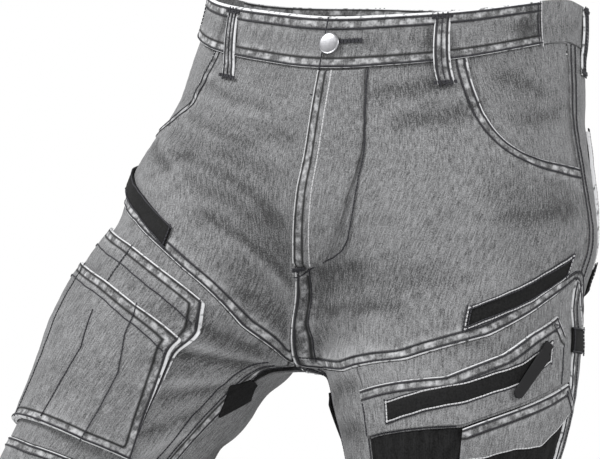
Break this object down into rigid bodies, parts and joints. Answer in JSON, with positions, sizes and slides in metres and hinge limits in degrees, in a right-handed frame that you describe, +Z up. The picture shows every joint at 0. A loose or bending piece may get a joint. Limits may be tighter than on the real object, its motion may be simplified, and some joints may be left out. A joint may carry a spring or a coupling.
{
  "type": "work trousers",
  "caption": "Slim stretch-denim work trousers, filled out as on a wearer in a wide stance, with belt loops, scoop, zip, flap and cargo pockets and black stretch panels.",
  "frame": {"origin": "middle of the waist opening, on the straight-hanging waist line", "axes": "+Z up, the wearer faces -Y, +X is the wearer's left"},
  "size_m": [0.718, 0.3451, 1.1015],
  "materials": {
    "denim": "washed grey stretch denim, double topstitched",
    "stretch": "black stretch weave",
    "webbing": "black ribbed webbing and zip tape",
    "metal": "satin metal button and slider",
    "moulded": "matt black moulded pull tab"
  },
  "bodies": {
    "trousers": {"back_pocket_left": "denim", "back_pocket_right": "denim", "belt_loop_centre_back": "denim", "belt_loop_front_left": "denim", "belt_loop_front_right": "denim", "belt_loop_rear_left": "denim", "belt_loop_rear_right": "denim", "belt_loop_side_left": "denim", "belt_loop_side_right": "denim", "cargo_pocket_back": "denim", "cargo_pocket_front": "denim", "crotch_gusset_left": "stretch", "crotch_gusset_right": "stretch", "fly_flap": "denim", "hip_back_left": "denim", "hip_back_right": "denim", "hip_front_left": "denim", "hip_front_right": "denim", "hip_strip_back_left": "webbing", "hip_strip_front_left": "webbing", "hip_strip_front_right": "webbing", "knee_front_right": "denim", "leg_back_left": "denim", "leg_back_right": "denim", "pocket_facing_left": "denim", "pocket_facing_right": "denim", "shin_front_left": "denim", "shin_front_right": "denim", "side_tab_left": "webbing", "stretch_panel_left": "stretch", "thigh_front_right": "denim", "thigh_inner_left": "denim", "thigh_outer_left": "denim", "thigh_pocket_flap": "denim", "waist_button": "metal", "waist_elastic_left": "denim", "waist_elastic_right": "denim", "waistband_back": "denim", "waistband_front_left": "denim", "waistband_front_right": "denim", "zip_pocket_panel": "denim", "zip_slider": "metal", "zip_tape": "webbing"},
    "zip_pull": {"zip_pull": "moulded"}
  },
  "joints": [
    {"name": "zip_pull_swing", "type": "hinge", "parent": "trousers", "child": "zip_pull", "pos_m": [0.18441, -0.07468, -0.33355], "axis": [-0.3999, -0.6948, 0.5978], "range_deg": [0, 150]}
  ]
}
